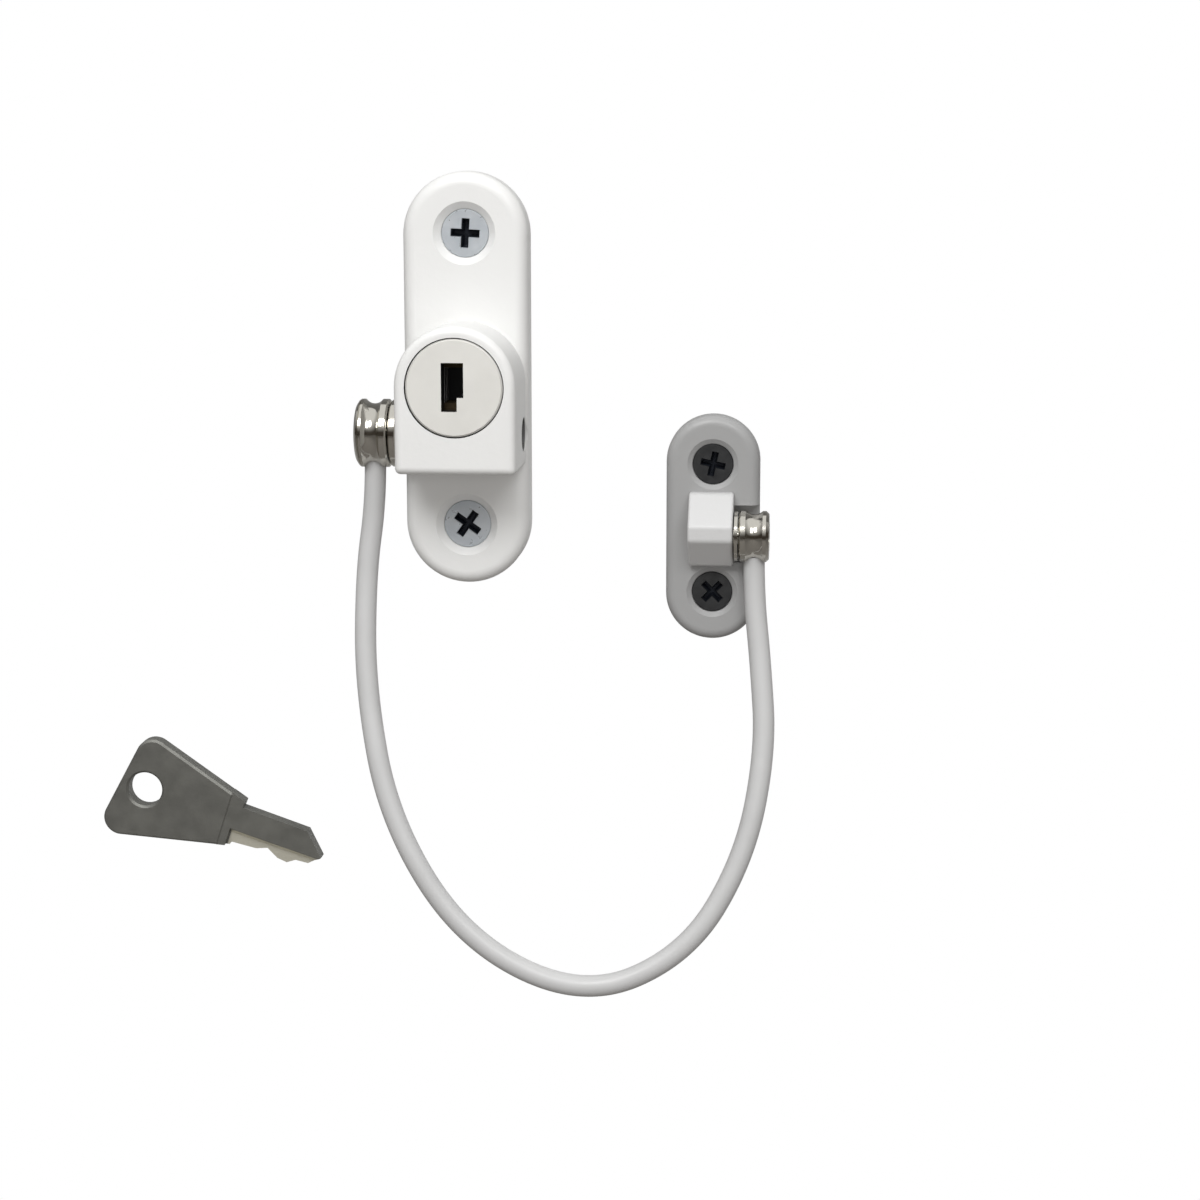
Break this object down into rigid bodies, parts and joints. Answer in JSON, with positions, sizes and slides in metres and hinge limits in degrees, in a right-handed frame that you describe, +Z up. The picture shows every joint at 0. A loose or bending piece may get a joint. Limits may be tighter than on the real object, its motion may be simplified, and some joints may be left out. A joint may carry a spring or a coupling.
{
  "type": "window restrictor cable",
  "caption": "Keyed window restrictor: a white lock body and a white keeper plate joined by a sheathed steel cable on swivel ends.",
  "frame": {"origin": "middle of the lock plate's back face, in line with the key plug's axis", "axes": "+X from the lock towards the keeper, -Y out of the window frame towards the user, +Z up"},
  "size_m": [0.1237, 0.0516, 0.1432],
  "materials": {
    "white_powder_coat": "satin powder coat on cast zinc",
    "zinc_casting": "powder coat, thin at the back",
    "zinc_screw": "bright zinc plate",
    "dark_screw": "dull zinc plate",
    "satin_nickel": "satin nickel plate",
    "polished_nickel": "polished nickel plate",
    "key_nickel": "worn satin nickel plate",
    "steel": "plain steel",
    "brass": "stamped",
    "white_pvc": "smooth semi-matt PVC"
  },
  "bodies": {
    "lock": {"lock_housing": "white_powder_coat", "lock_back_cover": "zinc_casting", "cover_screws": "zinc_screw", "lock_screws": "zinc_screw"},
    "cylinder": {"key_plug": "satin_nickel", "wafer_tumblers": "brass", "wafer_springs": "steel", "plug_clip": "steel", "drive_pin": "steel"},
    "bolt": {"locking_bolt": "steel"},
    "stud": {"stud_pin": "polished_nickel", "stud_retainer": "polished_nickel"},
    "cable": {"lock_end_barrel": "polished_nickel", "lock_end_ferrule": "steel", "cable_core": "steel", "cable_sheath": "white_pvc", "keeper_end_ferrule": "steel", "keeper_end_barrel": "polished_nickel"},
    "keeper": {"keeper_plate": "white_powder_coat", "keeper_pin": "polished_nickel", "keeper_washer": "polished_nickel", "keeper_screws": "dark_screw"},
    "key": {"key": "key_nickel"}
  },
  "joints": [
    {"name": "cylinder_turn", "type": "hinge", "parent": "lock", "child": "cylinder", "pos_m": [0, -0.015, 0], "axis": [0, 1, 0], "range_deg": [0, 90]},
    {"name": "bolt_throw", "type": "slide", "parent": "lock", "child": "bolt", "axis": [0, 0, -1], "range_m": [0, 0.00161]},
    {"name": "stud_release", "type": "slide", "parent": "lock", "child": "stud", "axis": [-1, 0, 0], "range_m": [0, 0.018]},
    {"name": "lock_end_swivel", "type": "hinge", "parent": "stud", "child": "cable", "pos_m": [-0.0159, -0.0077, -0.0092], "axis": [1, 0, 0], "continuous": true},
    {"name": "keeper_swivel", "type": "hinge", "parent": "cable", "child": "keeper", "pos_m": [0.051, -0.0065, -0.0269], "axis": [1, 0, 0], "range_deg": [0, 150]},
    {"name": "key_lift", "type": "slide", "parent": "lock", "child": "key", "axis": [0, 0, 1], "range_m": [0, 0.03]}
  ],
  "couplings": [
    {"joint": "bolt_throw", "follows": "cylinder_turn", "m_per_rad": 0.0010186}
  ]
}
